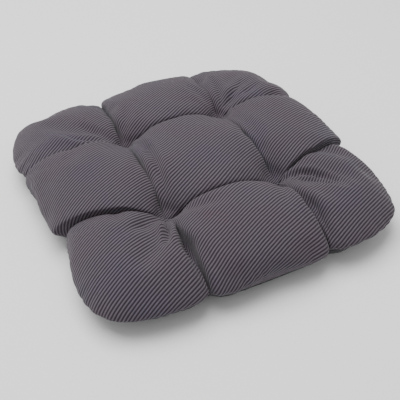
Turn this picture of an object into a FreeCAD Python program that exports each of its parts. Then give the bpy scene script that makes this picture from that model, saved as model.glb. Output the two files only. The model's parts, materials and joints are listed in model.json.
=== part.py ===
"""Tufted chair seat pad: a sewn cover of two fabric panels, stuffed with fibre and tied at four points.

Units are millimetres. The origin is on the floor under the middle of the pad, +Z is up and the front edge
faces -Y. Every sub-part is one STEP file in parts/, named for its node.
"""

import FreeCAD
import Part
import math
import os

Vector = FreeCAD.Vector
UP = Vector(0, 0, 1)
X_AXIS = Vector(1, 0, 0)

# Driving dimensions of the pad.
WIDTH = 400.0
DEPTH = 406.0
HEIGHT = 75.0
CORNER_RADIUS = 88.0
FABRIC = 1.0
SEAM_HEIGHT = 20.0
SIDE_TOP = 31.0

# The four tufts in plan. They are tied by hand, so they sit a few millimetres off a square grid.
TUFT_TOP = 37.0
TUFT_BOTTOM = 10.0
TUFTS = {
    "front_left": (-73.0, -76.0),
    "front_right": (76.0, -78.0),
    "back_left": (-65.0, 73.0),
    "back_right": (76.0, 76.0),
}

# Where the outward creases of each tuft reach the outline: y on a side edge, x on the front or back edge.
CREASE_ENDS = {
    "front_left": (-46.0, -78.0),
    "front_right": (-46.0, 78.0),
    "back_left": (80.0, -60.0),
    "back_right": (76.0, 88.0),
}

# Crowned top: how fast the side rises, and the dimples and creases pressed into it.
SHOULDER = 0.38
SHOULDER_POWER = 2.6
OUTLINE_POWER = 4.5
DIMPLE_WIDTH = 24.0
DIMPLE_POWER = 1.35
CREASE_DEPTH = 15.0
CREASE_EDGE_SHARE = 0.45
CREASE_WIDTH = 13.0
GRID_STEP = 8.5
GRID_REACH = 26

# Seam: the panels' turned-in edges, the lockstitch between them and the overlock round their raw edges.
ALLOWANCE = 11.0
SEAM_THREAD = 1.0
SEAM_THREAD_INSET = 2.5
OVERLOCK_WIDTH = 3.0
OVERLOCK_WRAP = 0.5
THREAD_CLEARANCE = 0.1

# Underside dimples, and the cords that tie them to the top ones.
UNDER_LAND = 7.0
UNDER_ARC = 16.0
TIE_CORD = 2.2
TIE_LEG_OFFSET = 3.6
TIE_CLEARANCE = 0.2
KNOT_RADIUS = 3.4
KNOT_DROP = 4.4
TAIL_REACH = 11.0

# Closing stitches along the middle of the back edge.
CLOSING_LENGTH = 120.0
CLOSING_COUNT = 21
CLOSING_THREAD = 0.9
CLOSING_RISE = 3.0
CLOSING_LEG = 3.0
CLOSING_STAND_OFF = 0.75


def rounded_outline(inset, z):
    """Closed wire of the pad's plan outline, moved in by inset, at height z."""
    half_x = WIDTH / 2 - inset
    half_y = DEPTH / 2 - inset
    radius = CORNER_RADIUS - inset
    diagonal = radius * math.cos(math.radians(45))
    edges = []
    corners = [(1, 1), (-1, 1), (-1, -1), (1, -1)]
    for index, (sx, sy) in enumerate(corners):
        centre = Vector(sx * (half_x - radius), sy * (half_y - radius), z)
        side = centre + Vector(sx * radius, 0, 0)
        end = centre + Vector(0, sy * radius, 0)
        middle = centre + Vector(sx * diagonal, sy * diagonal, 0)
        first, last = (side, end) if index % 2 == 0 else (end, side)
        if edges:
            edges.append(Part.LineSegment(edges[-1].EndPoint, first))
        edges.append(Part.Arc(first, middle, last))
    edges.append(Part.LineSegment(edges[-1].EndPoint, edges[0].StartPoint))
    return Part.Wire([edge.toShape() for edge in edges])


def slab(inset, low, high):
    """Upright solid of the outline moved in by inset, between two heights."""
    return Part.Face(rounded_outline(inset, low)).extrude(UP * (high - low))


def ring(inset_out, inset_in, low, high):
    """Flat band that follows the outline, between two insets and two heights."""
    return slab(inset_out, low, high).cut(slab(inset_in, low - 1, high + 1))


def outline_norm(x, y):
    """0 in the middle of the pad and 1 on its outline."""
    across = abs(x / (WIDTH / 2)) ** OUTLINE_POWER
    along = abs(y / (DEPTH / 2)) ** OUTLINE_POWER
    return (across + along) ** (1 / OUTLINE_POWER)


def crown(x, y):
    """Height of the stuffed top before it is tufted, carried on smoothly past the outline."""
    share = min(1.0, (1 - outline_norm(x, y)) / SHOULDER)
    if share >= 0:
        rise = 1 - (1 - share) ** SHOULDER_POWER
    else:
        rise = -0.5 * math.tanh(-2 * SHOULDER_POWER * share)
    return SIDE_TOP + (HEIGHT - SIDE_TOP) * rise


def segment_distance(x, y, start, end):
    """Distance in plan from a point to a straight stretch."""
    along = (end[0] - start[0], end[1] - start[1])
    length_squared = along[0] ** 2 + along[1] ** 2
    share = ((x - start[0]) * along[0] + (y - start[1]) * along[1]) / length_squared
    share = max(0.0, min(1.0, share))
    return math.hypot(x - start[0] - share * along[0], y - start[1] - share * along[1])


def crease_lines():
    """Straight creases in plan: four between neighbouring tufts and eight out to the edges."""
    lines = [
        (TUFTS["front_left"], TUFTS["front_right"]),
        (TUFTS["back_left"], TUFTS["back_right"]),
        (TUFTS["front_left"], TUFTS["back_left"]),
        (TUFTS["front_right"], TUFTS["back_right"]),
    ]
    for name, tuft in TUFTS.items():
        side_y, edge_x = CREASE_ENDS[name]
        lines.append((tuft, (math.copysign(WIDTH / 2, tuft[0]), side_y)))
        lines.append((tuft, (edge_x, math.copysign(DEPTH / 2, tuft[1]))))
    return lines


CREASES = crease_lines()


def top_height(x, y):
    """Height of the tufted top surface."""
    height = crown(x, y)
    rise = max(0.0, (height - SIDE_TOP) / (HEIGHT - SIDE_TOP))
    depth = CREASE_DEPTH * (CREASE_EDGE_SHARE + (1 - CREASE_EDGE_SHARE) * rise)
    nearest = min(segment_distance(x, y, *line) for line in CREASES)
    height -= depth * math.exp(-((nearest / CREASE_WIDTH) ** 1.5))
    for tuft_x, tuft_y in TUFTS.values():
        distance = math.hypot(x - tuft_x, y - tuft_y)
        pull = math.exp(-((distance / DIMPLE_WIDTH) ** DIMPLE_POWER))
        height -= (height - TUFT_TOP) * pull
    return height


def under_top(thickness):
    """Solid under the tufted top surface, which is moved in by thickness along its normal."""
    nodes = [GRID_STEP * index for index in range(-GRID_REACH, GRID_REACH + 1)]
    probe = 1.0
    rows = []
    for x in nodes:
        row = []
        for y in nodes:
            slope_x = (top_height(x + probe, y) - top_height(x - probe, y)) / (2 * probe)
            slope_y = (top_height(x, y + probe) - top_height(x, y - probe)) / (2 * probe)
            drop = thickness * math.sqrt(1 + slope_x**2 + slope_y**2)
            row.append(Vector(x, y, top_height(x, y) - drop))
        rows.append(row)
    surface = Part.BSplineSurface()
    surface.interpolate(rows)
    return surface.toShape().extrude(UP * (-2 * HEIGHT))


def under_dimple(thickness):
    """Funnel pressed up into the underside at one tuft, grown by thickness, with its axis at the origin."""
    arc = UNDER_ARC - thickness
    land = UNDER_LAND + thickness
    top = TUFT_BOTTOM + thickness
    centre_x = UNDER_LAND + UNDER_ARC
    low = -1.0
    reach = math.sqrt(arc**2 - (TUFT_BOTTOM - low) ** 2)
    turn = math.atan2(TUFT_BOTTOM - low, reach) / 2
    start = Vector(land, 0, TUFT_BOTTOM)
    end = Vector(centre_x - reach, 0, low)
    middle = Vector(centre_x - arc * math.cos(turn), 0, TUFT_BOTTOM - arc * math.sin(turn))
    corners = [end, Vector(0, 0, low), Vector(0, 0, top), Vector(land, 0, top)]
    if thickness > 0:
        corners.append(start)
    edges = [Part.Arc(start, middle, end)]
    edges += [Part.LineSegment(*pair) for pair in zip(corners, corners[1:])]
    face = Part.Face(Part.Wire([edge.toShape() for edge in edges]))
    return face.revolve(Vector(0, 0, 0), UP, 360)


def at_tuft(shape, tuft):
    """Copy of a shape moved from the origin to one tuft."""
    moved = shape.copy()
    moved.translate(Vector(*tuft, 0))
    return moved


def envelope(thickness):
    """The whole stuffed pad as one solid, moved in by thickness all over."""
    body = slab(thickness, thickness, HEIGHT + 20)
    base_edges = [edge for edge in body.Edges if edge.BoundBox.ZMax < thickness + 0.01]
    body = body.makeFillet(SEAM_HEIGHT - thickness, base_edges)
    body = body.common(under_top(thickness))
    for tuft in TUFTS.values():
        body = body.cut(at_tuft(under_dimple(thickness), tuft))
    return body


def tube_between(start, end, radius):
    """Round bar between two points, with a ball at its far end so that the next bar joins it."""
    along = end - start
    bar = Part.makeCylinder(radius, along.Length, start, along)
    return bar.fuse(Part.makeSphere(radius, end))


def cord_through(points, radius):
    """One solid of cord along straight stretches, with rounded joints and ends."""
    solid = Part.makeSphere(radius, points[0])
    for start, end in zip(points, points[1:]):
        solid = solid.fuse(tube_between(start, end, radius))
    return solid.removeSplitter()


def tuft_tie(grow):
    """Cord through the pad at one tuft: a bar over the top dimple, two legs, and a knot with two tails."""
    radius = TIE_CORD / 2 + grow
    bar_height = TUFT_TOP + TIE_CORD / 2
    knot_height = TUFT_BOTTOM - KNOT_DROP
    left = Vector(-TIE_LEG_OFFSET, 0, bar_height)
    right = Vector(TIE_LEG_OFFSET, 0, bar_height)
    knot_left = Vector(-TIE_LEG_OFFSET, 0, TUFT_BOTTOM)
    knot_right = Vector(TIE_LEG_OFFSET, 0, TUFT_BOTTOM)
    knot = Vector(0, 0, knot_height)
    cord = cord_through([knot, knot_left, left, right, knot_right, knot], radius)
    cord = cord.fuse(Part.makeSphere(KNOT_RADIUS + grow, knot))
    for side in (-1, 1):
        bend = Vector(side * TAIL_REACH / 2, side * KNOT_RADIUS, knot_height - 1.2)
        tip = Vector(side * TAIL_REACH, side * KNOT_RADIUS * 1.6, knot_height - 2.4)
        cord = cord.fuse(cord_through([knot, bend, tip], radius))
    return cord.removeSplitter()


def seam_thread(grow):
    """Lockstitch line clamped between the panels' turned-in edges, as one closed loop of thread."""
    path = rounded_outline(SEAM_THREAD_INSET, SEAM_HEIGHT)
    start = path.Edges[0].valueAt(path.Edges[0].FirstParameter)
    along = path.Edges[0].tangentAt(path.Edges[0].FirstParameter)
    circle = Part.Circle(start, along, SEAM_THREAD / 2 + grow).toShape()
    return path.makePipeShell([Part.Wire([circle])], True, True)


def overlock():
    """Overlock thread wrapped round the raw edges of both seam allowances."""
    reach = FABRIC + OVERLOCK_WRAP
    outer_inset = ALLOWANCE - OVERLOCK_WIDTH
    inner_inset = ALLOWANCE + OVERLOCK_WRAP
    band = ring(outer_inset, inner_inset, SEAM_HEIGHT - reach, SEAM_HEIGHT + reach)
    slot = ring(outer_inset - 1, ALLOWANCE, SEAM_HEIGHT - FABRIC, SEAM_HEIGHT + FABRIC)
    return band.cut(slot)


def closing_stitch(grow):
    """One stitch over the seam at the back wall: up the outside, with a leg into each panel."""
    out = DEPTH / 2 + CLOSING_STAND_OFF
    inside = out - CLOSING_LEG
    low = SEAM_HEIGHT - CLOSING_RISE
    high = SEAM_HEIGHT + CLOSING_RISE
    lean = CLOSING_LENGTH / (CLOSING_COUNT - 1) / 4
    points = [
        Vector(-lean, inside, low),
        Vector(-lean, out, low),
        Vector(lean, out, high),
        Vector(lean, inside, high),
    ]
    return cord_through(points, CLOSING_THREAD / 2 + grow)


def closing_stitches(grow):
    """The row of closing stitches, as separate solids."""
    pitch = CLOSING_LENGTH / (CLOSING_COUNT - 1)
    single = closing_stitch(grow)
    row = []
    for index in range(CLOSING_COUNT):
        stitch = single.copy()
        stitch.translate(X_AXIS * (pitch * index - CLOSING_LENGTH / 2))
        row.append(stitch)
    return row


def build():
    """Every sub-part as {node name: shape}."""
    outer = envelope(0.0)
    inner = envelope(FABRIC)
    cover = outer.cut(inner)
    above = slab(-20, SEAM_HEIGHT, 2 * HEIGHT)
    below = slab(-20, -HEIGHT, SEAM_HEIGHT)

    ties = {name: at_tuft(tuft_tie(0), tuft) for name, tuft in TUFTS.items()}
    tie_room = [at_tuft(tuft_tie(TIE_CLEARANCE), tuft) for tuft in TUFTS.values()]
    thread_room = [seam_thread(THREAD_CLEARANCE), *closing_stitches(THREAD_CLEARANCE)]
    upper_allowance = ring(FABRIC / 2, ALLOWANCE, SEAM_HEIGHT, SEAM_HEIGHT + FABRIC)
    lower_allowance = ring(FABRIC / 2, ALLOWANCE, SEAM_HEIGHT - FABRIC, SEAM_HEIGHT)
    seam_space = ring(-1, ALLOWANCE + 2, SEAM_HEIGHT - 2, SEAM_HEIGHT + 2)

    top_panel = cover.common(above).fuse(upper_allowance).cut(tie_room + thread_room)
    bottom_panel = cover.common(below).fuse(lower_allowance).cut(tie_room + thread_room)
    fill = inner.cut([seam_space, *tie_room, *thread_room])

    parts = {
        "top_panel": top_panel,
        "bottom_panel": bottom_panel,
        "fibre_fill": fill,
        "perimeter_seam_thread": seam_thread(0),
        "seam_overlock_thread": overlock(),
        "closing_stitch_thread": Part.Compound(closing_stitches(0)),
    }
    for name, tie in ties.items():
        parts["tuft_tie_" + name] = tie
    return parts


def main():
    os.makedirs("parts", exist_ok=True)
    for name, shape in build().items():
        solids = shape.Solids
        keep = solids[0] if len(solids) == 1 else Part.Compound(solids)
        box = keep.BoundBox
        print(
            f"{name}: {len(solids)} solids, valid {keep.isValid()}, {keep.Volume / 1000:.2f} cm3, "
            f"z {box.ZMin:.2f} to {box.ZMax:.2f}"
        )
        keep.exportStep(f"parts/{name}.step")


main()
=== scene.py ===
import json
import math

import bmesh
import bpy
import numpy as np
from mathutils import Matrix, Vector, kdtree, noise

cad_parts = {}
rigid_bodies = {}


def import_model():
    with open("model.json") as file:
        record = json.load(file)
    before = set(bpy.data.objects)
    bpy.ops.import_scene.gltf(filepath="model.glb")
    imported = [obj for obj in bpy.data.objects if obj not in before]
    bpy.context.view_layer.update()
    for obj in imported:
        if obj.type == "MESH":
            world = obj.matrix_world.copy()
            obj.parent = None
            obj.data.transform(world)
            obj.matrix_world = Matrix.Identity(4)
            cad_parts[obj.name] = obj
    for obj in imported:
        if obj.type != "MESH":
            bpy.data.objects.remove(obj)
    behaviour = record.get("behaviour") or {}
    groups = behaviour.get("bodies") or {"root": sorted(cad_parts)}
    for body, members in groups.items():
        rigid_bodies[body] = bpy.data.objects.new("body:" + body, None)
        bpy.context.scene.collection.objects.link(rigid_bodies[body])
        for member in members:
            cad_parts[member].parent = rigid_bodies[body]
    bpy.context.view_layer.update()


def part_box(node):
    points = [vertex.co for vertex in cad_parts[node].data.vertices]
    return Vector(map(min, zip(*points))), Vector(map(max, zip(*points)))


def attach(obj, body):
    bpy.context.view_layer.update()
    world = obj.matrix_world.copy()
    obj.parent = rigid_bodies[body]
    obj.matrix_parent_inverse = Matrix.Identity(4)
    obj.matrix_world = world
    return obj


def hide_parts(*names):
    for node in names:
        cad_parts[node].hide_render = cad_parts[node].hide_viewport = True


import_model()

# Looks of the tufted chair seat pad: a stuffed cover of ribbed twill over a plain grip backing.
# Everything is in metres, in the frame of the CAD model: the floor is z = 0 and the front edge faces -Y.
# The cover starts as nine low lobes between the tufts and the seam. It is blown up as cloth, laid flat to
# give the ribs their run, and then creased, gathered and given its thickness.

MM = 0.001
BODY = "root"
TAU = 2 * math.pi

# Plan of the seam, from the CAD model.
SEAM_LOW, SEAM_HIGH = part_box("perimeter_seam_thread")
SEAM_Z = (SEAM_LOW.z + SEAM_HIGH.z) / 2
PANEL_LOW, PANEL_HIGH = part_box("top_panel")
SEAM_INSET = 9 * MM
HALF_X = (PANEL_HIGH.x - PANEL_LOW.x) / 2 - SEAM_INSET
HALF_Y = (PANEL_HIGH.y - PANEL_LOW.y) / 2 - SEAM_INSET
OUTLINE_POWER = 5.6

# Where the seam line runs outside (+) or inside (-) the even outline: degrees round, width, distance.
SEAM_SHIFTS = (
    (-143, 12, 8 * MM),
    (-118, 10, -2 * MM),
    (-88, 34, 2.5 * MM),
    (-165, 8, -3 * MM),
    (-162, 12, -7 * MM),
    (152, 13, 4 * MM),
    (105, 22, -4 * MM),
    (45, 14, -4 * MM),
    (8, 14, -3 * MM),
    (-58, 8, 3 * MM),
)
NOTCH_DEPTH = 9 * MM
NOTCH_WIDTH = 11 * MM

# Where the seam rides higher than elsewhere and shows the underside: degrees round, width, height.
SEAM_RISES = (
    (-54, 12, 7 * MM),
    (157, 6, 5 * MM),
)

# The four tufts, and where the outward creases of each reach the seam: y at the side, x at the front or back.
TUFTS = ("front_left", "front_right", "back_left", "back_right")
COLUMN = {"left": 1, "right": 2}
ROW = {"front": 1, "back": 2}
CORD_RISE = 2.2 * MM
CREASE_ENDS = {
    "front_left": (-0.046, -0.078),
    "front_right": (-0.046, 0.078),
    "back_left": (0.080, -0.060),
    "back_right": (0.076, 0.088),
}

# The start mesh: three by three lobes, each a square of cells that are smaller by the creases.
CELLS = 32
SIDE = 3 * CELLS
STEPS = np.linspace(0, 1, CELLS + 1)
SHARES = 0.5 * STEPS + 0.5 * (1 - np.cos(np.pi * STEPS)) / 2

# Lobes: height over the tufts, steep walls by the creases, and the round shoulder down to the seam.
RIM_RISE = 25 * MM
CROWN_RISE = 6 * MM
WALL_SHARE = 0.085
SHOULDER_SHARE = 0.92
SHOULDER_POWER = 2.05
EDGE_DROP = {"left": 3 * MM, "right": 10 * MM, "front": 2 * MM, "back": 14 * MM}
CREASE_FALL = 1.8
BULGE = 9 * MM
BULGE_Z = 33 * MM
BULGE_BAND = 16 * MM

# Creases between two lobe corners (column, row): height of the bottom half way along, and how far the lobes
# beside it lean over it.
CREASES = {
    ((1, 1), (2, 1)): (41 * MM, 10 * MM),
    ((1, 2), (2, 2)): (44 * MM, 9 * MM),
    ((1, 1), (1, 2)): (41 * MM, 10 * MM),
    ((2, 1), (2, 2)): (45 * MM, 9 * MM),
    ((0, 1), (1, 1)): (46 * MM, 17 * MM),
    ((0, 2), (1, 2)): (46 * MM, 17 * MM),
    ((1, 0), (1, 1)): (38 * MM, 6 * MM),
    ((2, 0), (2, 1)): (35 * MM, 5 * MM),
    ((2, 1), (3, 1)): (48 * MM, 17 * MM),
    ((2, 2), (3, 2)): (46 * MM, 12 * MM),
    ((1, 2), (1, 3)): (38 * MM, 4 * MM),
    ((2, 2), (2, 3)): (44 * MM, 6 * MM),
}

# The funnel that each tie draws in the cloth: how steep it is, and how softly it meets the lobes.
FUNNEL_SLOPE = 0.72
FUNNEL_START = 3 * MM
FUNNEL_SOFTNESS = 5 * MM
FUNNEL_FOOT = 7 * MM

# Underside: rounded up to the seam, and dimpled at the ties.
UNDER_ROUND = 26 * MM
UNDER_POWER = 1.3
UNDER_DIMPLE = 10 * MM
UNDER_DIMPLE_WIDTH = 16 * MM

UNDER_EVENING = 400

# Blowing up: the middle of the underside lies on the floor, and the cloth is a little short.
REST_RADIUS = 150 * MM
REST_HEIGHT = 6 * MM
BLOW_FRAMES = 24
BLOW_PRESSURE = 4
CLOTH_SHORTENING = -0.045
CALMING = 3
UNWRAP_ROUNDS = 10

# How neighbouring lobes press on each other across a crease.
LOBE_GAP = 0.7 * MM
PRESS_REACH = 15 * MM
PRESS_RISE = 14 * MM

# Loose folds of the top cloth: plan points in mm, depth and half width in mm, and how sharp the valley is.
FOLDS = (
    ([(-65, 67), (-55, 52), (-51, 26), (-54, -7), (-61, -42), (-67, -64)], 5.2, 4.6, 1.5),
    ([(84, 62), (88, 28), (86, 0), (82, -38), (77, -68)], 2.4, 7.0, 2.0),
    ([(80, -79), (93, -82), (103, -85), (114, -93), (127, -110), (139, -132)], 6.0, 3.2, 1.2),
    ([(92, -90), (110, -105), (125, -124), (140, -142)], 3.4, 3.4, 1.3),
    ([(-83, 83), (-98, 84), (-110, 87), (-122, 94), (-134, 108)], 4.2, 4.2, 1.4),
    ([(-80, 84), (-90, 96), (-100, 110), (-108, 124)], 2.4, 5.0, 1.6),
    ([(-77, -84), (-84, -102), (-91, -118), (-97, -130)], 9.0, 3.2, 1.15),
    ([(-77, -110), (-72, -140), (-66, -172), (-60, -192)], 2.6, 7.0, 2.0),
    ([(83, 84), (91, 100), (97, 122), (101, 146)], 3.8, 4.4, 1.4),
    ([(74, 82), (66, 112), (58, 142)], 2.4, 6.0, 1.8),
    ([(84, 82), (99, 91), (118, 104), (134, 120)], 3.6, 4.4, 1.4),
    ([(94, 85), (112, 89), (136, 96), (156, 106)], 2.2, 4.4, 1.5),
    ([(-68, 80), (-50, 104), (-38, 132)], 2.2, 7.0, 2.0),
    ([(-80, -80), (-104, -92), (-130, -98)], 2.4, 6.0, 1.8),
    ([(76, -84), (62, -112), (54, -140)], 2.2, 7.0, 2.0),
    ([(-66, -80), (-42, -92), (-14, -100)], 2.4, 7.0, 2.0),
    ([(79, -120), (82, -150), (80, -176), (79, -196)], 4.5, 5.0, 1.5),
    ([(-77, -132), (-80, -158), (-79, -178), (-77, -196)], 4.0, 4.6, 1.5),
)

# The lips beside a fold: how high against its depth, how far out and how wide, in half widths.
LIP_SHARE = 0.4
LIP_PLACE = 2.1
LIP_WIDTH = 1.1

# Gathers: cloth eased in along the seam, and drawn in round each tuft. The level evens them out.
GATHER_LEVEL = 0.62
SEAM_GATHER = 2.2 * MM
SEAM_GATHER_REACH = 16 * MM
SEAM_GATHER_COUNT = 110
TUFT_GATHER = 2.0 * MM
TUFT_GATHER_REACH = 13 * MM
TUFT_GATHER_COUNT = 13
LUMP = 1.0 * MM
LUMP_SIZE = 60 * MM

# Cloth and filling.
FABRIC = 1.0 * MM
ALLOWANCE = 11 * MM
ALLOWANCE_GAP = 0.2 * MM
FILL_INSET = 2.8 * MM
CLUMP = 0.9 * MM
CLUMP_SIZE = 14 * MM


def round_difference(angle, other):
    """Signed difference between two angles, at most half a turn."""
    return (angle - other + math.pi) % TAU - math.pi


def even_reach(angle):
    """Distance from the middle to the even outline, at an angle."""
    across = abs(math.cos(angle) / HALF_X) ** OUTLINE_POWER
    along = abs(math.sin(angle) / HALF_Y) ** OUTLINE_POWER
    return (across + along) ** (-1 / OUTLINE_POWER)


def corner_angle(i, j):
    """Angle about the middle of a lobe corner that lies on the seam."""
    if i in (0, 3) and j in (0, 3):
        return math.atan2(HALF_Y * (j - 1.5), HALF_X * (i - 1.5))
    for name in TUFTS:
        row, column = name.split("_")
        side_y, edge_x = CREASE_ENDS[name]
        if j == ROW[row] and i == 3 * (COLUMN[column] - 1):
            return math.atan2(side_y, HALF_X * (2 * COLUMN[column] - 3))
        if i == COLUMN[column] and j == 3 * (ROW[row] - 1):
            return math.atan2(HALF_Y * (2 * ROW[row] - 3), edge_x)


RIM_CORNERS = [(i, j) for i in range(4) for j in range(4) if i in (0, 3) or j in (0, 3)]
SEAM_ANGLES = {corner: corner_angle(*corner) for corner in RIM_CORNERS}
NOTCH_ANGLES = [angle for corner, angle in SEAM_ANGLES.items() if 1 in corner or 2 in corner]


def seam_point(angle):
    """Point of the seam line at an angle about the middle."""
    reach = even_reach(angle)
    height = SEAM_Z
    for degrees, width, rise in SEAM_RISES:
        away = math.degrees(round_difference(angle, math.radians(degrees)))
        height += rise * math.exp(-((away / width) ** 4))
    for degrees, width, shift in SEAM_SHIFTS:
        away = math.degrees(round_difference(angle, math.radians(degrees)))
        reach += shift * math.exp(-((away / width) ** 2))
    for notch in NOTCH_ANGLES:
        away = round_difference(angle, notch) * reach
        reach -= NOTCH_DEPTH * math.exp(-((away / NOTCH_WIDTH) ** 2))
    return np.array([reach * math.cos(angle), reach * math.sin(angle), height])


def tuft_point(name):
    """Middle of one tuft, at the fabric under its cord."""
    low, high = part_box("tuft_tie_" + name)
    return np.array([(low.x + high.x) / 2, (low.y + high.y) / 2, high.z - CORD_RISE])


CORNERS = {corner: seam_point(angle) for corner, angle in SEAM_ANGLES.items()}
for tuft_name in TUFTS:
    tuft_row, tuft_column = tuft_name.split("_")
    CORNERS[COLUMN[tuft_column], ROW[tuft_row]] = tuft_point(tuft_name)


def walked(points):
    """Distance walked along a line, at each of its points."""
    return np.concatenate([[0], np.cumsum(np.linalg.norm(np.diff(points, axis=0), axis=1))])


def points_at(points, walk):
    """Points of a line at distances along it."""
    run = walked(points)
    return np.stack([np.interp(walk, run, points[:, axis]) for axis in range(3)], axis=1)


def divide(points):
    """A line through dense points, divided at the lobes' grid lines."""
    points = np.asarray(points)
    return points_at(points, SHARES * walked(points)[-1])


def seam_stretch(a, b):
    """Seam line between two lobe corners, the short way round."""
    turn = round_difference(SEAM_ANGLES[b], SEAM_ANGLES[a])
    return divide([seam_point(SEAM_ANGLES[a] + turn * share) for share in np.linspace(0, 1, 200)])


def crease(a, b):
    """Bottom of a crease: between two tufts, or from a tuft over the edge and down to the seam."""
    start, end = CORNERS[a], CORNERS[b]
    crest, _ = CREASES[a, b]
    if a in SEAM_ANGLES:
        start, end = end, start
    share = np.linspace(0, 1, 300)
    line = start + (end - start) * share[:, None]
    if a in SEAM_ANGLES or b in SEAM_ANGLES:
        climb = np.sin(np.minimum(2 * share, 1) * np.pi / 2)
        fall = np.clip(2 * share - 1, 0, 1)
        up = start[2] + (crest - start[2]) * climb
        down = end[2] + (crest - end[2]) * (1 - fall**CREASE_FALL) ** (1 / CREASE_FALL)
        line[:, 2] = np.where(share < 0.5, up, down)
    else:
        line[:, 2] += (crest - line[:, 2]) * np.sin(np.pi * share)
    if a in SEAM_ANGLES:
        line = line[::-1]
    return divide(line)


def lobe_edge(a, b):
    """One edge of a lobe, between two corners."""
    if a in SEAM_ANGLES and b in SEAM_ANGLES:
        return seam_stretch(a, b)
    return crease(a, b)


def patch(front, back, left, right):
    """Smooth surface inside four edges that meet at their corners."""
    s = SHARES[:, None, None]
    t = SHARES[None, :, None]
    between_ends = (1 - t) * front[:, None] + t * back[:, None]
    between_sides = (1 - s) * left[None, :] + s * right[None, :]
    front_corners = (1 - s) * front[0] + s * front[-1]
    back_corners = (1 - s) * back[0] + s * back[-1]
    return between_ends + between_sides - (1 - t) * front_corners - t * back_corners


def profile(index, drops):
    """Across one row of lobes: rise from the creases, wall by the creases, way from the seam, drop to it."""
    if index == 1:
        rise = 4 * SHARES * (1 - SHARES)
        from_crease = np.minimum(SHARES, 1 - SHARES)
        from_seam = np.ones_like(SHARES)
        drop = np.zeros_like(SHARES)
    else:
        from_crease = SHARES if index == 2 else 1 - SHARES
        from_seam = np.maximum(1 - from_crease, 1e-6)
        rise = 1 - (1 - np.minimum(2 * from_crease, 1)) ** 2
        drop = drops[index // 2] * from_crease
    wall = np.sqrt(1 - (1 - np.minimum(from_crease / WALL_SHARE, 1)) ** 2)
    return rise, wall, from_seam, drop


def lobe(i, j):
    """One stuffed lobe over its four edges."""
    base = patch(
        lobe_edge((i, j), (i + 1, j)), lobe_edge((i, j + 1), (i + 1, j + 1)),
        lobe_edge((i, j), (i, j + 1)), lobe_edge((i + 1, j), (i + 1, j + 1)),
    )
    across = profile(i, (EDGE_DROP["left"], EDGE_DROP["right"]))
    rise_y, wall_y, seam_y, drop_y = profile(j, (EDGE_DROP["front"], EDGE_DROP["back"]))
    rise_x, wall_x, seam_x, drop_x = (values[:, None] for values in across)
    rise = 1 - (1 - rise_x) * (1 - rise_y)
    top = CORNERS[1, 1][2] + RIM_RISE * rise + CROWN_RISE * (rise_x * rise_y) ** 0.7 - drop_x - drop_y
    from_seam = (seam_x**-4 + seam_y**-4) ** -0.25
    shoulder = 1 - (1 - np.minimum(from_seam / SHOULDER_SHARE, 1)) ** SHOULDER_POWER
    wall = wall_x * wall_y
    base[..., 2] += wall * shoulder ** (1 / SHOULDER_POWER) * (top - base[..., 2])
    outward = base[..., :2] * np.abs(base[..., :2] / (HALF_X, HALF_Y)) ** (OUTLINE_POWER - 2)
    outward /= np.maximum(np.linalg.norm(outward, axis=2, keepdims=True), 1e-9)
    near_side = np.clip(1 - from_seam / SHOULDER_SHARE, 0, 1) * wall * (from_seam > 0.001)
    bulge = BULGE * near_side * np.exp(-(((base[..., 2] - BULGE_Z) / BULGE_BAND) ** 2))
    base[..., :2] += outward * bulge[..., None]
    return drawn_down(base)


def drawn_down(points):
    """Cloth drawn down into a funnel round each tuft."""
    for name in TUFTS:
        tuft = tuft_point(name)
        away = np.linalg.norm(points[..., :2] - tuft[:2], axis=-1)
        roof = tuft[2] + FUNNEL_START + FUNNEL_SLOPE * away
        over = (points[..., 2] - roof) / FUNNEL_SOFTNESS
        near_tuft = np.exp(-((away / FUNNEL_FOOT) ** 2))
        points[..., 2] -= FUNNEL_SOFTNESS * np.logaddexp(0, over) * (1 - near_tuft)
    return points


def lobe_cells(i, j, inside=0):
    """Index of one lobe's points in the square array, without the points on its creases if inside is 1."""
    rows = slice(i * CELLS + inside * (i > 0), (i + 1) * CELLS + 1 - inside * (i < 2))
    columns = slice(j * CELLS + inside * (j > 0), (j + 1) * CELLS + 1 - inside * (j < 2))
    return rows, columns


def top_points():
    """Points of the tufted top before it is blown up, as a square array."""
    grid = np.zeros((SIDE + 1, SIDE + 1, 3))
    for i in range(3):
        for j in range(3):
            grid[lobe_cells(i, j)] = lobe(i, j)
    return grid


def blurred(grid):
    """Each inner point of a square array, moved to the middle of its four neighbours."""
    middle = grid.copy()
    middle[1:-1, 1:-1] = (grid[:-2, 1:-1] + grid[2:, 1:-1] + grid[1:-1, :-2] + grid[1:-1, 2:]) / 4
    return middle


def under_points(top):
    """Points of the underside: flat on the floor, rounded up to the seam and dimpled at the ties."""
    grid = top.copy()
    for _ in range(UNDER_EVENING):
        grid = blurred(grid)
    x, y = grid[..., 0], grid[..., 1]
    seam = np.array([seam_point(angle) for angle in np.arctan2(y, x).ravel()]).reshape(grid.shape)
    reach = np.linalg.norm(seam[..., :2], axis=2)
    edge = np.clip((reach - np.hypot(x, y)) / UNDER_ROUND, 0, 1)
    grid[..., 2] = seam[..., 2] * (1 - edge) ** UNDER_POWER
    for name in TUFTS:
        away = np.linalg.norm(grid[..., :2] - tuft_point(name)[:2], axis=2)
        grid[..., 2] += UNDER_DIMPLE * np.exp(-((away / UNDER_DIMPLE_WIDTH) ** 1.5))
    return grid


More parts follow.
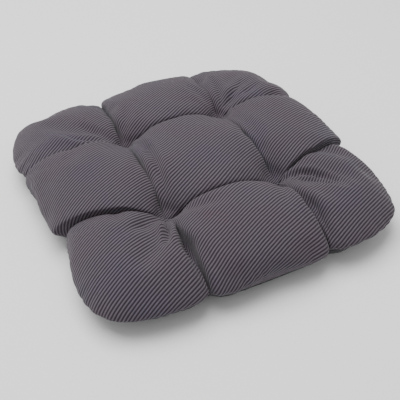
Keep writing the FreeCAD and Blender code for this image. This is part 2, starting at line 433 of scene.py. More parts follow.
def keep_sides(grid):
    """Presses each lobe up to its creases, on its own side, so that neighbours touch but never cross."""
    for i in range(3):
        for j in range(3):
            block = grid[lobe_cells(i, j, inside=1)]
            corners = [(i, j), (i + 1, j), (i + 1, j + 1), (i, j + 1)]
            for a, b in zip(corners, corners[1:] + corners[:1]):
                if a in SEAM_ANGLES and b in SEAM_ANGLES:
                    continue
                _, press = CREASES[min(a, b), max(a, b)]
                start, end = CORNERS[a][:2], CORNERS[b][:2]
                length = np.linalg.norm(end - start)
                along = (end - start) / length
                inward = np.array([-along[1], along[0]])
                depth = (block[..., :2] - start) @ inward
                share = np.clip((block[..., :2] - start) @ along / length, 0, 1)
                ends = CORNERS[a][2] + (CORNERS[b][2] - CORNERS[a][2]) * share
                high = np.clip((block[..., 2] - ends) / PRESS_RISE, 0, 1)
                closer = press * high * np.exp(-np.maximum(depth, 0) / PRESS_REACH)
                block[..., :2] += (np.maximum(depth - closer, LOBE_GAP) - depth)[..., None] * inward
    return grid


def squares(index, turned=False):
    """Faces over a square array of point numbers."""
    corners = [index[:-1, :-1], index[1:, :-1], index[1:, 1:], index[:-1, 1:]]
    faces = np.stack(corners, axis=-1).reshape(-1, 4)
    return faces[:, ::-1] if turned else faces


def new_piece(name, points, faces):
    """Object with one mesh, in the scene."""
    mesh = bpy.data.meshes.new(name)
    corners = faces.tolist() if isinstance(faces, np.ndarray) else faces
    mesh.from_pydata(np.asarray(points).tolist(), [], corners)
    mesh.update()
    piece = bpy.data.objects.new(name, mesh)
    bpy.context.scene.collection.objects.link(piece)
    return piece


def read_points(mesh, what="co"):
    """Points or normals of a mesh's vertices."""
    source = mesh.vertices if what == "co" else mesh.vertex_normals
    values = np.zeros(len(mesh.vertices) * 3)
    source.foreach_get("co" if what == "co" else "vector", values)
    return values.reshape(-1, 3)


def write_points(mesh, points):
    mesh.vertices.foreach_set("co", np.asarray(points).ravel())
    mesh.update()


def evaluated_mesh(piece):
    """Mesh of a piece or curve as its modifiers leave it."""
    depsgraph = bpy.context.evaluated_depsgraph_get()
    return bpy.data.meshes.new_from_object(piece.evaluated_get(depsgraph), depsgraph=depsgraph)


def made_plain(piece):
    """Turns a piece's modifiers into a plain mesh, and removes them."""
    mesh = evaluated_mesh(piece)
    piece.modifiers.clear()
    piece.data = mesh
    return piece


def closed_numbers():
    """Point numbers of the top and of the underside, which share the points on the seam."""
    top = np.arange((SIDE + 1) ** 2).reshape(SIDE + 1, SIDE + 1)
    under = top.copy()
    under[1:-1, 1:-1] = top.size + np.arange((SIDE - 1) ** 2).reshape(SIDE - 1, SIDE - 1)
    return top, under


def closed_cover(name, top, under):
    """One closed mesh over the top and the underside."""
    top_numbers, under_numbers = closed_numbers()
    points = np.concatenate([top.reshape(-1, 3), under[1:-1, 1:-1].reshape(-1, 3)])
    faces = np.concatenate([squares(top_numbers), squares(under_numbers, turned=True)])
    return new_piece(name, points, faces)


def stuffed(top, under):
    """Blows the cover up as cloth, held along the creases, the seam and the floor."""
    cover = closed_cover("stuffed_cover", top, under)
    top_numbers, under_numbers = closed_numbers()
    held = np.zeros(len(cover.data.vertices), bool)
    held[top_numbers[::CELLS]] = True
    held[top_numbers[:, ::CELLS]] = True
    resting = (under[..., 2] < REST_HEIGHT) | (np.hypot(under[..., 0], under[..., 1]) < REST_RADIUS)
    held[under_numbers[1:-1, 1:-1][resting[1:-1, 1:-1]]] = True
    group = cover.vertex_groups.new(name="held")
    group.add(np.nonzero(held)[0].tolist(), 1.0, "REPLACE")
    cloth = cover.modifiers.new("stuffing", "CLOTH")
    settings = cloth.settings
    settings.quality = 8
    settings.mass = 0.1
    settings.tension_stiffness = 20
    settings.compression_stiffness = 20
    settings.shear_stiffness = 8
    settings.bending_stiffness = 3
    settings.use_pressure = True
    settings.uniform_pressure_force = BLOW_PRESSURE
    settings.vertex_group_mass = group.name
    settings.shrink_min = CLOTH_SHORTENING
    settings.effector_weights.gravity = 0
    settings.air_damping = 5
    cloth.collision_settings.use_collision = False
    cloth.collision_settings.use_self_collision = False
    cloth.point_cache.frame_end = 40
    for frame_number in range(1, BLOW_FRAMES + 1):
        bpy.context.scene.frame_set(frame_number)
    made_plain(cover)
    points = read_points(cover.data)
    bpy.data.objects.remove(cover)
    return settled(top, points[top_numbers]), points[under_numbers]


def settled(start, blown):
    """The blown-up top with its small ripples calmed, and its lobes pressed together."""
    move = blown - start
    held = np.zeros((SIDE + 1, SIDE + 1, 1), bool)
    held[::CELLS] = True
    held[:, ::CELLS] = True
    for _ in range(CALMING):
        move = np.where(held, move, 0.5 * move + 0.5 * blurred(move))
    return keep_sides(start + move)


def laid_flat(piece, grid):
    """Unwraps a panel as the flat cloth it was cut from, in metres, square to the pad."""
    mesh = piece.data
    mesh.uv_layers.new(name="cloth")
    for other in bpy.context.scene.objects:
        other.select_set(other == piece)
    bpy.context.view_layer.objects.active = piece
    bpy.ops.object.mode_set(mode="EDIT")
    bpy.ops.mesh.select_all(action="SELECT")
    bpy.ops.uv.unwrap(
        method="MINIMUM_STRETCH", fill_holes=False, correct_aspect=False,
        iterations=UNWRAP_ROUNDS, no_flip=True, margin=0,
    )
    bpy.ops.object.mode_set(mode="OBJECT")
    piece.select_set(False)
    layer = mesh.uv_layers["cloth"]
    numbers = np.zeros(len(mesh.loops), int)
    mesh.loops.foreach_get("vertex_index", numbers)
    flat = np.zeros(len(mesh.loops) * 2)
    layer.data.foreach_get("uv", flat)
    flat = flat.reshape(-1, 2)
    flat = flat[:, 0] + 1j * flat[:, 1]
    points = grid.reshape(-1, 3)[numbers]
    plan = points[:, 0] + 1j * points[:, 1]
    flat -= flat.mean()
    plan -= plan.mean()
    if abs(np.vdot(flat.conj(), plan)) > abs(np.vdot(flat, plan)):
        flat = flat.conj()
    turn = np.vdot(flat, plan)
    sides = np.linalg.norm(np.roll(points.reshape(-1, 4, 3), 1, axis=1) - points.reshape(-1, 4, 3), axis=2)
    flat_sides = np.abs(np.roll(flat.reshape(-1, 4), 1, axis=1) - flat.reshape(-1, 4))
    flat *= turn / abs(turn) * np.median(sides / flat_sides)
    layer.data.foreach_set("uv", np.stack([flat.real, flat.imag], axis=1).ravel())


def way_along(points, line):
    """For each plan point: distance to a line through a few points, and the share of the way along it."""
    line = np.asarray(line) * MM
    lengths = np.linalg.norm(np.diff(line, axis=0), axis=1)
    nearest = np.full(len(points), np.inf)
    share = np.zeros(len(points))
    walked = 0
    for start, end, length in zip(line, line[1:], lengths):
        along = np.clip((points - start) @ (end - start) / length**2, 0, 1)
        away = np.linalg.norm(points - start - along[:, None] * (end - start), axis=1)
        closer = away < nearest
        nearest = np.where(closer, away, nearest)
        share = np.where(closer, (walked + along * length) / lengths.sum(), share)
        walked += length
    return nearest, share


def fold_depth(points):
    """How far the loose folds push each point in; their lips stand out a little."""
    depth = np.zeros(len(points))
    for line, deep, half_width, sharpness in FOLDS:
        away, share = way_along(points[:, :2], line)
        across = away / (half_width * MM)
        lips = LIP_SHARE * np.exp(-(((across - LIP_PLACE) / LIP_WIDTH) ** 2))
        valley = np.exp(-(across**sharpness)) - lips
        depth += deep * MM * valley * np.sin(np.pi * np.clip(share, 0.03, 0.97)) ** 0.6
    return depth


def gather_depth(points):
    """How far the gathers by the seam and round the tufts push each point in."""
    turns = np.linspace(0, TAU, 1440, endpoint=False)
    ring = np.array([seam_point(angle) for angle in turns])
    tree = kdtree.KDTree(len(ring))
    for number, place in enumerate(ring):
        tree.insert(place, number)
    tree.balance()
    found = [tree.find(point) for point in points]
    turn = turns[[number for _, number, _ in found]]
    away = np.array([distance for _, _, distance in found])
    beat = SEAM_GATHER_COUNT / 2 * turn + 1.2 * np.sin(9 * turn) + 0.8 * np.sin(23 * turn + 1)
    strength = 0.8 + 0.45 * np.sin(7 * turn + 1) + 0.3 * np.sin(17 * turn)
    reach = SEAM_GATHER_REACH * (1.1 + 0.5 * np.sin(11 * turn + 2))
    depth = SEAM_GATHER * strength * (GATHER_LEVEL - np.abs(np.sin(beat))) * np.exp(-away / reach)
    for number, name in enumerate(TUFTS):
        spoke = points[:, :2] - tuft_point(name)[:2]
        away = np.linalg.norm(spoke, axis=1)
        turn = np.arctan2(spoke[:, 1], spoke[:, 0])
        beat = TUFT_GATHER_COUNT / 2 * turn + 0.6 * np.sin(3 * turn + number)
        fade = np.exp(-away / TUFT_GATHER_REACH) * (1 - np.exp(-away / (4 * MM)))
        depth += TUFT_GATHER * (GATHER_LEVEL - np.abs(np.sin(beat))) * fade
    return depth


def lumps(points, size, start):
    """Soft unevenness of the stuffing, between -1 and 1."""
    return np.array([noise.noise(Vector(point) / size + Vector((start, 0, 0))) for point in points])


def seam_out(points):
    """Level direction out of the pad at points by the seam."""
    outward = points[:, :2] * np.abs(points[:, :2] / (HALF_X, HALF_Y)) ** (OUTLINE_POWER - 2)
    outward /= np.maximum(np.linalg.norm(outward, axis=1, keepdims=True), 1e-9)
    return np.column_stack([outward, np.zeros(len(points))])


def turn_in_edge(piece, side):
    """Adds the seam allowance: a level strip inside the seam, just above (1) or below (-1) it."""
    mesh = bmesh.new()
    mesh.from_mesh(piece.data)
    rim = [edge for edge in mesh.edges if edge.is_boundary]
    for inward in (ALLOWANCE_GAP, ALLOWANCE - ALLOWANCE_GAP):
        made = bmesh.ops.extrude_edge_only(mesh, edges=rim)["geom"]
        corners = [item for item in made if isinstance(item, bmesh.types.BMVert)]
        rim = [item for item in made if isinstance(item, bmesh.types.BMEdge) and item.is_boundary]
        outward = seam_out(np.array([corner.co for corner in corners]))
        for corner, out in zip(corners, outward):
            corner.co = corner.co - Vector(out * inward)
            corner.co.z += side * ALLOWANCE_GAP
    bmesh.ops.recalc_face_normals(mesh, faces=mesh.faces)
    mesh.to_mesh(piece.data)
    mesh.free()


def panel(name, grid, side, depth_of):
    """One fabric panel of the cover, with its folds, its turned-in edge and its thickness."""
    numbers = np.arange(grid[..., 0].size).reshape(grid.shape[:2])
    piece = new_piece(name, grid.reshape(-1, 3), squares(numbers, turned=side < 0))
    laid_flat(piece, grid)
    finer = piece.modifiers.new("finer", "SUBSURF")
    finer.levels = finer.render_levels = 1
    made_plain(piece)
    points, normals = read_points(piece.data), read_points(piece.data, "normal")
    edge = np.zeros(len(points), bool)
    piece_edges = bmesh.new()
    piece_edges.from_mesh(piece.data)
    edge[[vertex.index for vertex in piece_edges.verts if vertex.is_boundary]] = True
    piece_edges.free()
    depth = np.where(edge, 0, depth_of(points))
    write_points(piece.data, points - normals * depth[:, None])
    turn_in_edge(piece, side)
    thick = piece.modifiers.new("thickness", "SOLIDIFY")
    thick.thickness = FABRIC
    thick.offset = -1
    made_plain(piece)
    smooth(piece)
    return piece


def smooth(piece):
    piece.data.polygons.foreach_set("use_smooth", np.ones(len(piece.data.polygons), bool))
    piece.data.update()


def top_depth(points):
    """How far the top cloth is pushed in: its folds, its gathers and the unevenness of the stuffing."""
    return fold_depth(points) + gather_depth(points) + LUMP * lumps(points, LUMP_SIZE, 3)


def under_depth(points):
    """The plain underside is gathered only at the seam."""
    return np.minimum(gather_depth(points), points[:, 2] * 0.5)


def spread(depth):
    """Each value of a square array raised to the largest one round it."""
    wide = np.pad(depth, 1, mode="edge")
    rows = np.maximum(np.maximum(wide[:-2], wide[1:-1]), wide[2:])
    return np.maximum(np.maximum(rows[:, :-2], rows[:, 1:-1]), rows[:, 2:])


def filling(top, under):
    """The stuffing: the shape inside the cover, a little lumpy."""
    piece = closed_cover("fibre_filling", top, under)
    points, normals = read_points(piece.data), read_points(piece.data, "normal")
    count = top[..., 0].size
    pushed_top = spread(spread(top_depth(points[:count]).reshape(SIDE + 1, SIDE + 1)))
    pushed = np.concatenate([pushed_top.ravel(), under_depth(points[count:])])
    inset = FILL_INSET + CLUMP * (1 + lumps(points, CLUMP_SIZE, 8)) + np.maximum(pushed, 0)
    write_points(piece.data, points - normals * inset[:, None])
    smooth(piece)
    return piece


# Threads of the seam, and the cords of the tufts.
STITCH_PITCH = 3 * MM
STITCH_THREAD = 0.5 * MM
STITCH_INSET = 2.5 * MM
LOOP_PITCH = 2.6 * MM
LOOP_THREAD = 0.45 * MM
LOOP_WIDTH = 3 * MM
CLOSING_PITCH = 6 * MM
CLOSING_THREAD = 0.7 * MM
CLOSING_RISE = 2.6 * MM
CORD = 1.9 * MM
CORD_STRANDS = 3
CORD_TWIST = 5 * MM
LEG_OFFSET = 3.6 * MM
KNOT_SIZE = 1.15 * MM


class Nodes:
    """Builds one node tree, for a material or for geometry."""

    def __init__(self, tree):
        self.tree = tree

    def node(self, kind, settings=None, sockets=None):
        """New node: its settings first, then values or links of its sockets, by name or number."""
        made = self.tree.nodes.new(kind)
        for name, value in (settings or {}).items():
            if name == "stops":
                self.set_stops(made.color_ramp, value)
            else:
                setattr(made, name, value)
        for name, value in (sockets or {}).items():
            socket = made.inputs[name]
            if isinstance(value, Number):
                value = value.socket
            if isinstance(value, bpy.types.NodeSocket):
                self.tree.links.new(value, socket)
            else:
                socket.default_value = value
        return made

    def set_stops(self, ramp, stops):
        """Places and colours of a colour ramp."""
        while len(ramp.elements) < len(stops):
            ramp.elements.new(1)
        for element, (place, colour) in zip(ramp.elements, stops):
            element.position = place
            element.color = colour

    def number(self, kind, settings=None, sockets=None, output=0):
        """New node whose output is used in sums."""
        return Number(self, self.node(kind, settings, sockets).outputs[output])


class Number:
    """A number in a node tree. Sums of numbers add their Math nodes."""

    def __init__(self, nodes, socket):
        self.nodes = nodes
        self.socket = socket

    def maths(self, operation, *values):
        return self.nodes.number("ShaderNodeMath", {"operation": operation}, dict(enumerate(values)))

    def __add__(self, other):
        return self.maths("ADD", self, other)

    def __sub__(self, other):
        return self.maths("SUBTRACT", self, other)

    def __mul__(self, other):
        return self.maths("MULTIPLY", self, other)

    def __truediv__(self, other):
        return self.maths("DIVIDE", self, other)

    def __pow__(self, other):
        return self.maths("POWER", self, other)

    def __radd__(self, other):
        return self.maths("ADD", other, self)

    def __rsub__(self, other):
        return self.maths("SUBTRACT", other, self)

    def __rmul__(self, other):
        return self.maths("MULTIPLY", other, self)

    def sine(self):
        return self.maths("SINE", self)

    def floor(self):
        return self.maths("FLOOR", self)

    def size(self):
        return self.maths("ABSOLUTE", self)

    def clamped(self):
        """Kept between 0 and 1."""
        return self.maths("MINIMUM", self.maths("MAXIMUM", self, 0), 1)


def curve_of(name, points, closed=False, kind="POLY"):
    """Curve object with the given points."""
    curve = bpy.data.curves.new(name, "CURVE")
    curve.dimensions = "3D"
    line = curve.splines.new(kind)
    line.points.add(len(points) - 1)
    line.points.foreach_set("co", np.column_stack([points, np.ones(len(points))]).ravel())
    line.use_cyclic_u = closed
    holder = bpy.data.objects.new(name, curve)
    bpy.context.scene.collection.objects.link(holder)
    return holder


def stitch_tree():
    """Geometry nodes that repeat one stitch along a path, turned to follow it."""
    tree = bpy.data.node_groups.new("row_of_stitches", "GeometryNodeTree")
    nodes = Nodes(tree)
    sockets = {}
    for name, kind in (
        ("Path", "NodeSocketGeometry"), ("Stitch", "NodeSocketObject"), ("Pitch", "NodeSocketFloat"),
        ("Thread radius", "NodeSocketFloat"), ("Sides", "NodeSocketInt"), ("Finish", "NodeSocketMaterial"),
    ):
        sockets[name] = tree.interface.new_socket(name, in_out="INPUT", socket_type=kind).identifier
    tree.interface.new_socket("Stitches", in_out="OUTPUT", socket_type="NodeSocketGeometry")
    given = nodes.node("NodeGroupInput").outputs
    stitch = nodes.node("GeometryNodeObjectInfo", sockets={"Object": given["Stitch"]}).outputs["Geometry"]
    ring = nodes.node(
        "GeometryNodeCurvePrimitiveCircle",
        sockets={"Resolution": given["Sides"], "Radius": given["Thread radius"]},
    ).outputs["Curve"]
    thread = nodes.node(
        "GeometryNodeCurveToMesh", sockets={"Curve": stitch, "Profile Curve": ring, "Fill Caps": True}
    ).outputs["Mesh"]
    places = nodes.node(
        "GeometryNodeCurveToPoints", {"mode": "LENGTH"}, {"Curve": given["Path"], "Length": given["Pitch"]}
    ).outputs
    facing = nodes.node(
        "FunctionNodeAlignRotationToVector", {"axis": "X", "pivot_axis": "Z"}, {"Vector": places["Tangent"]}
    ).outputs["Rotation"]
    row = nodes.node(
        "GeometryNodeInstanceOnPoints",
        sockets={"Points": places["Points"], "Instance": thread, "Rotation": facing},
    ).outputs["Instances"]
    real = nodes.node("GeometryNodeRealizeInstances", sockets={"Geometry": row}).outputs["Geometry"]
    done = nodes.node(
        "GeometryNodeSetMaterial", sockets={"Geometry": real, "Material": given["Finish"]}
    ).outputs["Geometry"]
    nodes.node("NodeGroupOutput", sockets={0: done})
    return tree, sockets


def stitch_row(name, path, stitch, pitch, thread, finish, closed):
    """A row of stitches as one plain mesh: the path, and one stitch's own points about the origin."""
    tree, sockets = stitch_tree()
    holder = curve_of(name + "_path", path, closed)
    pattern = curve_of(name + "_stitch", stitch)
    row = holder.modifiers.new("stitches", "NODES")
    row.node_group = tree
    values = {"Stitch": pattern, "Pitch": pitch, "Thread radius": thread / 2, "Sides": 6, "Finish": finish}
    for socket_name, value in values.items():
        row[sockets[socket_name]] = value
    mesh = evaluated_mesh(holder)
    for spent in (holder, pattern):
        bpy.data.objects.remove(spent)
    piece = bpy.data.objects.new(name, mesh)
    bpy.context.scene.collection.objects.link(piece)
    smooth(piece)
    return piece


def seam_path(inset, first=0.0, last=TAU, count=720):
    """Points along the seam, moved in by inset."""
    points = np.array([seam_point(angle) for angle in np.linspace(first, last, count, endpoint=False)])
    return points - seam_out(points) * inset


def seam_stitching(finish):
    """Lockstitches that join the two panels, just inside the seam."""
    half = STITCH_PITCH * 0.46
    sunk, raised = -0.5 * MM, 0.25 * MM
    stitch = [(-half, 0, sunk), (-half * 0.5, 0, raised), (half * 0.5, 0, raised), (half, 0, sunk)]
    path = seam_path(STITCH_INSET)
    return stitch_row("seam_stitching", path, stitch, STITCH_PITCH, STITCH_THREAD, finish, closed=True)


def overlock_stitching(finish):
    """Loops of thread round the raw edges of both seam allowances."""
    reach = FABRIC + 0.6 * MM
    width = LOOP_WIDTH / 2
    turns = np.linspace(0, TAU, 11)
    lean = LOOP_PITCH * 0.25
    loop = [(lean * math.sin(turn), width * math.cos(turn), reach * math.sin(turn)) for turn in turns]
    path = seam_path(ALLOWANCE - width + 0.3 * MM)
    return stitch_row("overlock_stitching", path, loop, LOOP_PITCH, LOOP_THREAD, finish, closed=True)


def closing_stitching(finish):
    """Hand stitches that close the opening in the middle of the back edge."""
    low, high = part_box("closing_stitch_thread")
    angles = np.linspace(math.atan2(HALF_Y, high.x), math.atan2(HALF_Y, low.x), 120)
    path = np.array([seam_point(angle) for angle in angles])
    path = path + seam_out(path) * 0.9 * MM
    rise, lean, leg = CLOSING_RISE, CLOSING_PITCH * 0.22, 2.2 * MM
    stitch = [
        (-lean, leg, -rise), (-lean, 0.6 * MM, -rise), (-lean * 0.8, 0, -rise * 0.7), (0, -0.3 * MM, 0),
        (lean * 0.8, 0, rise * 0.7), (lean, 0.6 * MM, rise), (lean, leg, rise),
    ]
    return stitch_row("closing_stitching", path, stitch, CLOSING_PITCH, CLOSING_THREAD, finish, closed=False)


def smooth_path(points, spacing):
    """Evenly spaced points along a smooth curve with the given control points."""
    owner = curve_of("path", points, kind="NURBS")
    line = owner.data.splines[0]
    line.order_u = 3
    line.use_endpoint_u = True
    line.resolution_u = 12
    dense = read_points(evaluated_mesh(owner))
    bpy.data.objects.remove(owner)
    length = walked(dense)[-1]
    return points_at(dense, np.linspace(0, length, max(4, round(length / spacing))))


def frames_along(path):
    """Two directions square to a path at each point, carried along it without twisting."""
    ahead = np.gradient(path, axis=0)
    ahead /= np.linalg.norm(ahead, axis=1, keepdims=True)
    side = np.cross(ahead[0], (0.3, 0.9, 0.4))
    sides = []
    for direction in ahead:
        side = side - direction * (side @ direction)
        side = side / np.linalg.norm(side)
        sides.append(side)
    sides = np.array(sides)
    return sides, np.cross(ahead, sides)


def tube(path, radius, sides=6):
    """Points and faces of a closed tube along a path, with its ends drawn to a point."""
    across, upward = frames_along(path)
    turns = np.linspace(0, TAU, sides, endpoint=False)
    radii = np.full(len(path), radius)
    radii[0] = radii[-1] = radius * 0.55
    rings = [
        path + radii[:, None] * (math.cos(turn) * across + math.sin(turn) * upward) for turn in turns
    ]
    points = np.stack(rings, axis=1).reshape(-1, 3)
    faces = []
    for ring in range(len(path) - 1):
        for side in range(sides):
            after = (side + 1) % sides
            start, end = ring * sides, (ring + 1) * sides
            faces.append([start + side, start + after, end + after, end + side])
    last = (len(path) - 1) * sides
    faces.append(list(range(sides))[::-1])
    faces.append([last + side for side in range(sides)])
    return points, faces


def twisted_cord(path, width):
    """Strands of a twisted cord along a path, as a list of tubes."""
    across, upward = frames_along(path)
    run = walked(path)
    tubes = []
    for strand in range(CORD_STRANDS):
        turn = TAU * (run / CORD_TWIST + strand / CORD_STRANDS)
        offset = width * 0.24 * (np.cos(turn)[:, None] * across + np.sin(turn)[:, None] * upward)
        tubes.append(tube(path + offset, width * 0.27))
    return tubes


def join_tubes(name, tubes):
    """One piece from several tubes."""
    points, faces, start = [], [], 0
    for tube_points, tube_faces in tubes:
        points.append(tube_points)
        faces += [[start + number for number in face] for face in tube_faces]
        start += len(tube_points)
    piece = new_piece(name, np.concatenate(points), faces)
    smooth(piece)
    return piece


def tuft_tie(name):
    """Twisted cord through the pad at one tuft: over the top, down both legs, and a knot with two tails."""
    low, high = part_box("tuft_tie_" + name)
    middle = np.array([(low.x + high.x) / 2, (low.y + high.y) / 2, 0])
    bar = high.z - CORD / 2 - 0.2 * MM
    knot = low.z + 4 * MM
    leg = LEG_OFFSET
    loop = smooth_path([
        (-0.8 * MM, 0, knot), (-leg * 0.8, 0, knot + 3 * MM), (-leg, 0, knot + 8 * MM),
        (-leg, 0, bar - 8 * MM), (-leg, 0, bar - 1 * MM),
        (-leg * 0.7, 0, bar + 0.2 * MM), (leg * 0.7, 0, bar + 0.2 * MM),
        (leg, 0, bar - 1 * MM), (leg, 0, bar - 8 * MM), (leg, 0, knot + 8 * MM),
        (leg * 0.8, 0, knot + 3 * MM), (0.8 * MM, 0, knot),
    ], 0.7 * MM)
    turn = np.linspace(0, TAU, 60)
    knot_path = KNOT_SIZE * np.column_stack([
        np.sin(turn) + 2 * np.sin(2 * turn), np.cos(turn) - 2 * np.cos(2 * turn), -np.sin(3 * turn),
    ]) * (1, 0.8, 0.9) + (0, 0, knot)
    tubes = twisted_cord(loop, CORD) + twisted_cord(knot_path, CORD * 0.9)
    for side in (-1, 1):
        tail = smooth_path([
            (0, 0, knot), (side * 3 * MM, side * 2 * MM, knot - 0.5 * MM),
            (side * 6 * MM, side * 4 * MM, knot - 1.4 * MM), (side * 10 * MM, side * 5 * MM, knot - 2.2 * MM),
        ], 0.7 * MM)
        tubes += twisted_cord(tail, CORD * 0.85)
    tubes = [(points + middle, faces) for points, faces in tubes]
    return join_tubes("tuft_cord_" + name, tubes)


# Ribs of the top cloth: how far apart they are, and which way they run from +X towards +Y.
RIB_PITCH = 3.5 * MM
RIB_TURN = math.radians(27)
RIB_HEIGHT = 0.7 * MM
YARN_PITCH = 1.0 * MM
# Groove and rib colours: the cloth's own stripe, darkened by painted shade in the grooves and lightened by a
# painted highlight on the rib tops.
RIB_DARK = (0.011, 0.007, 0.011, 1)
RIB_LIGHT = (0.136, 0.112, 0.140, 1)
TINTS = ((0.3, (1.0, 0.93, 0.93, 1)), (0.5, (0.97, 0.97, 0.97, 1)), (0.7, (0.90, 0.93, 1.0, 1)))
FLECKS = ((0.3, (0.86, 0.86, 0.86, 1)), (0.7, (1.0, 1.0, 1.0, 1)))

# Weave and grip dots of the backing: rows of dots stand closer than the dots in a row.
WEAVE_PITCH = 1.1 * MM
GRIP_PITCH = 4.2 * MM
GRIP_ROW_PITCH = GRIP_PITCH * 0.866
BACKING_DARK = (0.010, 0.010, 0.012, 1)
BACKING_LIGHT = (0.036, 0.035, 0.041, 1)
BACKING_WORN = (0.040, 0.038, 0.044, 1)
GRIP_DOT = (0.012, 0.012, 0.014, 1)

# Filling, thread and cord.
FIBRE_SHADE = (0.58, 0.57, 0.54, 1)
FIBRE_WHITE = (0.86, 0.86, 0.84, 1)
THREAD_DARK = (0.016, 0.015, 0.018, 1)
THREAD_LIGHT = (0.075, 0.070, 0.080, 1)
CORD_DARK = (0.030, 0.027, 0.032, 1)
CORD_LIGHT = (0.105, 0.098, 0.110, 1)


def new_material(name, roughness, sheen=0.0, specular=0.3):
    """Material with its shader; everything that is the same all over is set on the shader's own sockets."""
    material = bpy.data.materials.new(name)
    material.use_nodes = True
    shader = material.node_tree.nodes["Principled BSDF"]
    shader.inputs["Roughness"].default_value = roughness
    shader.inputs["Sheen Weight"].default_value = sheen
    shader.inputs["Sheen Roughness"].default_value = 0.5
    shader.inputs["Specular IOR Level"].default_value = specular
    return material, Nodes(material.node_tree), shader


def cloth_place(nodes):
    """Across and along the flat cloth, in metres."""
    place = nodes.node("ShaderNodeUVMap", {"uv_map": "cloth"}).outputs["UV"]
    return place, nodes.node("ShaderNodeSeparateXYZ", sockets={"Vector": place}).outputs


def spots(nodes, place, scale, detail=2.0, roughness=0.5):
    """Noise from 0 to 1, with scale patches to the metre."""
    return nodes.number(
        "ShaderNodeTexNoise", {"noise_dimensions": "3D"},
        {"Vector": place, "Scale": scale, "Detail": detail, "Roughness": roughness},
    )


def blend(nodes, share, first, second, kind="MIX"):
    """Mixed colour."""
    mixed = nodes.node(
        "ShaderNodeMix", {"data_type": "RGBA", "blend_type": kind},
        {0: share, 6: first, 7: second},
    )
    return mixed.outputs[2]


def dress(nodes, shader, colour, roughness, height, depth):
    """Gives a shader its colour, its roughness, and the relief of a height from 0 to 1."""
    bump = nodes.node("ShaderNodeBump", sockets={"Strength": 1.0, "Distance": depth, "Height": height})
    nodes.tree.links.new(colour, shader.inputs["Base Color"])
    nodes.tree.links.new(roughness.socket, shader.inputs["Roughness"])
    nodes.tree.links.new(bump.outputs["Normal"], shader.inputs["Normal"])


def ribbed_twill():
    """Dark grey twill with light ribs, woven of slanting yarns; the ribs' lightness is partly the cloth's own
    and partly a painted highlight on their tops, with painted shade in the grooves.
    """
    material, nodes, shader = new_material("ribbed_twill", 0.85, sheen=0.12, specular=0.2)
    place, (u, v, _) = cloth_place(nodes)
    u, v = Number(nodes, u), Number(nodes, v)
    drift = (spots(nodes, place, 22) - 0.5) * (1.1 * MM) + (spots(nodes, place, 90) - 0.5) * (0.5 * MM)
    across = (v * math.cos(RIB_TURN) - u * math.sin(RIB_TURN) + drift) / RIB_PITCH
    along = u * math.cos(RIB_TURN) + v * math.sin(RIB_TURN)
    rib = ((across * TAU).sine() * 0.5 + 0.5) ** 1.15
    yarn = ((along / YARN_PITCH + across * 0.5) * TAU).sine() * 0.5 + 0.5
    fuzz = spots(nodes, place, 1500, detail=3)
    fleck = spots(nodes, place, 260, detail=2)
    # Lightness follows the rib relief: the cloth's own stripe, with a painted highlight on the rib tops and
    # painted shade in the grooves.
    light = rib * 0.74 + rib * yarn * 0.16 + fuzz * 0.1
    colour = blend(nodes, light, RIB_DARK, RIB_LIGHT)
    for stops, share in ((TINTS, spots(nodes, place, 14, detail=4)), (FLECKS, fleck)):
        ramp = nodes.node("ShaderNodeValToRGB", {"stops": stops}, {"Fac": share})
        colour = blend(nodes, 1.0, colour, ramp.outputs["Color"], "MULTIPLY")
    dress(nodes, shader, colour, 0.93 - light * 0.14, rib * 0.8 + rib * yarn * 0.14 + fuzz * 0.06, RIB_HEIGHT)
    return material


def grip_backing():
    """Charcoal backing in a plain weave, with small soft grip dots in staggered rows."""
    material, nodes, shader = new_material("grip_backing", 0.8, sheen=0.1, specular=0.3)
    place, (u, v, _) = cloth_place(nodes)
    u, v = Number(nodes, u), Number(nodes, v)
    weave = (u * (TAU / WEAVE_PITCH)).sine() * (v * (TAU / WEAVE_PITCH)).sine() * 0.5 + 0.5
    row = (v / GRIP_ROW_PITCH).floor()
    dot_u = (u / GRIP_PITCH + row * 0.5) * math.pi
    dot_v = (v / GRIP_ROW_PITCH) * math.pi
    dots = (((dot_u.sine() * dot_v.sine()).size() - 0.55) * 4).clamped()
    fuzz = spots(nodes, place, 1200, detail=3)
    patches = spots(nodes, place, 16, detail=4)
    cloth = blend(nodes, weave * 0.5 + fuzz * 0.5, BACKING_DARK, BACKING_LIGHT)
    cloth = blend(nodes, patches * 0.35, cloth, BACKING_WORN)
    colour = blend(nodes, dots * 0.8, cloth, GRIP_DOT)
    dress(nodes, shader, colour, 0.9 - dots * 0.35, weave * 0.25 + fuzz * 0.1 + dots * 0.65, 0.4 * MM)
    return material


def fibre_stuffing():
    """Off-white polyester fibre, matted in soft clumps."""
    material, nodes, shader = new_material("fibre_stuffing", 0.9, sheen=0.3)
    place = nodes.node("ShaderNodeTexCoord").outputs["Object"]
    clumps = spots(nodes, place, 70, detail=5, roughness=0.6)
    strands = spots(nodes, place, 900, detail=4, roughness=0.7)
    colour = blend(nodes, clumps * 0.6 + strands * 0.4, FIBRE_SHADE, FIBRE_WHITE)
    dress(nodes, shader, colour, 0.8 + strands * 0.18, clumps * 0.5 + strands * 0.5, 1.2 * MM)
    return material


def spun_thread(name, dark, light, pitch):
    """Thread or cord spun of fine fibres that lie aslant, with fluff and uneven dye."""
    material, nodes, shader = new_material(name, 0.7, sheen=0.2)
    place = nodes.node("ShaderNodeTexCoord").outputs["Object"]
    x, y, z = nodes.node("ShaderNodeSeparateXYZ", sockets={"Vector": place}).outputs
    slant = Number(nodes, x) + Number(nodes, y) + Number(nodes, z) * 1.4
    ply = (slant * (TAU / pitch)).sine() * 0.5 + 0.5
    fluff = spots(nodes, place, 2400, detail=3)
    dye = spots(nodes, place, 120, detail=3)
    colour = blend(nodes, ply * 0.5 + fluff * 0.3 + dye * 0.2, dark, light)
    dress(nodes, shader, colour, 0.85 - ply * 0.2, ply * 0.7 + fluff * 0.3, 0.12 * MM)
    return material


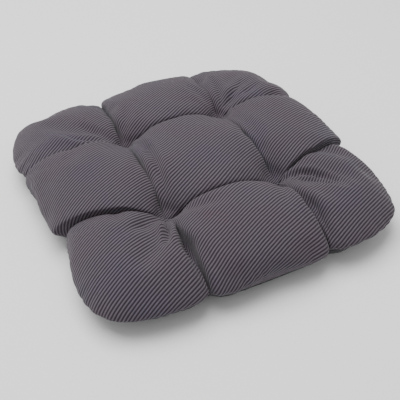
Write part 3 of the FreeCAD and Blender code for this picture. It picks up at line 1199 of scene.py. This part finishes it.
def finished(piece, material, slot, *nodes):
    """Gives a piece its finish if it has none yet, puts it on the body, and hides the CAD nodes it stands
    for.
    """
    if not piece.data.materials:
        piece.data.materials.append(material)
    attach(piece, BODY)
    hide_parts(*nodes)


def build_pad():
    """Every piece of the pad."""
    top = top_points()
    top, under = stuffed(top, under_points(top))
    twill, backing, stuffing = ribbed_twill(), grip_backing(), fibre_stuffing()
    thread = spun_thread("sewing_thread", THREAD_DARK, THREAD_LIGHT, 0.5 * MM)
    cord = spun_thread("tie_cord", CORD_DARK, CORD_LIGHT, 0.7 * MM)
    cover = panel("seat_cover_top", top, 1, top_depth)
    base = panel("seat_cover_underside", under, -1, under_depth)
    inside = filling(top, under)
    finished(cover, twill, "ribbed_twill", "top_panel")
    finished(base, backing, "grip_backing", "bottom_panel")
    finished(inside, stuffing, "fibre_fill", "fibre_fill")
    finished(seam_stitching(thread), thread, "sewing_thread", "perimeter_seam_thread")
    finished(overlock_stitching(thread), thread, "sewing_thread", "seam_overlock_thread")
    finished(closing_stitching(thread), thread, "sewing_thread", "closing_stitch_thread")
    for name in TUFTS:
        finished(tuft_tie(name), cord, "tie_cord", "tuft_tie_" + name)


# Studio: floor, light and camera.
FLOOR_HALF = 4
FLOOR_PALE = (0.86, 0.86, 0.86, 1)
FLOOR_MOTTLE = (0.88, 0.88, 0.88, 1)
ROOM_LIGHT = 0.68
KEY_PLACE = (-0.24, 0.36, 1.75)
KEY_SIZE = 1.7
KEY_WATTS = 50
AZIMUTH = math.radians(-26.55)
ELEVATION = math.radians(41.41)
DISTANCE = 0.9483
LENS = 66.8
AIM = Vector((-0.0027, -0.0227, 0))


def lay_floor():
    """Plain pale floor, with the faintest mottling."""
    corners = [(-1, -1, 0), (1, -1, 0), (1, 1, 0), (-1, 1, 0)]
    floor = new_piece("floor", np.array(corners) * FLOOR_HALF, [(0, 1, 2, 3)])
    material, nodes, shader = new_material("pale_floor", 0.9)
    place = nodes.node("ShaderNodeTexCoord").outputs["Object"]
    colour = blend(nodes, spots(nodes, place, 2), FLOOR_PALE, FLOOR_MOTTLE)
    nodes.tree.links.new(colour, shader.inputs["Base Color"])
    floor.data.materials.append(material)


def softbox(name, place, size, watts):
    """Square lamp turned to the pad."""
    lamp = bpy.data.lights.new(name, "AREA")
    lamp.size = size
    lamp.energy = watts
    holder = bpy.data.objects.new(name, lamp)
    holder.location = place
    holder.rotation_euler = (-Vector(place)).to_track_quat("-Z", "Y").to_euler()
    bpy.context.scene.collection.objects.link(holder)


def set_camera():
    """Camera above the front left corner."""
    level = math.cos(ELEVATION)
    back = Vector((math.sin(AZIMUTH) * level, -math.cos(AZIMUTH) * level, math.sin(ELEVATION)))
    lens = bpy.data.cameras.new("camera")
    lens.lens = LENS
    lens.sensor_width = 36
    camera = bpy.data.objects.new("camera", lens)
    camera.location = AIM + back * DISTANCE
    camera.rotation_mode = "QUATERNION"
    camera.rotation_quaternion = (-back).to_track_quat("-Z", "Y")
    bpy.context.scene.collection.objects.link(camera)
    bpy.context.scene.camera = camera


def set_studio():
    """White room light and one soft lamp from above and a little to the back left."""
    lay_floor()
    world = bpy.data.worlds.new("studio")
    world.use_nodes = True
    world.node_tree.nodes["Background"].inputs["Color"].default_value = (1, 1, 1, 1)
    world.node_tree.nodes["Background"].inputs["Strength"].default_value = ROOM_LIGHT
    bpy.context.scene.world = world
    softbox("key", KEY_PLACE, KEY_SIZE, KEY_WATTS)
    set_camera()


build_pad()
set_studio()
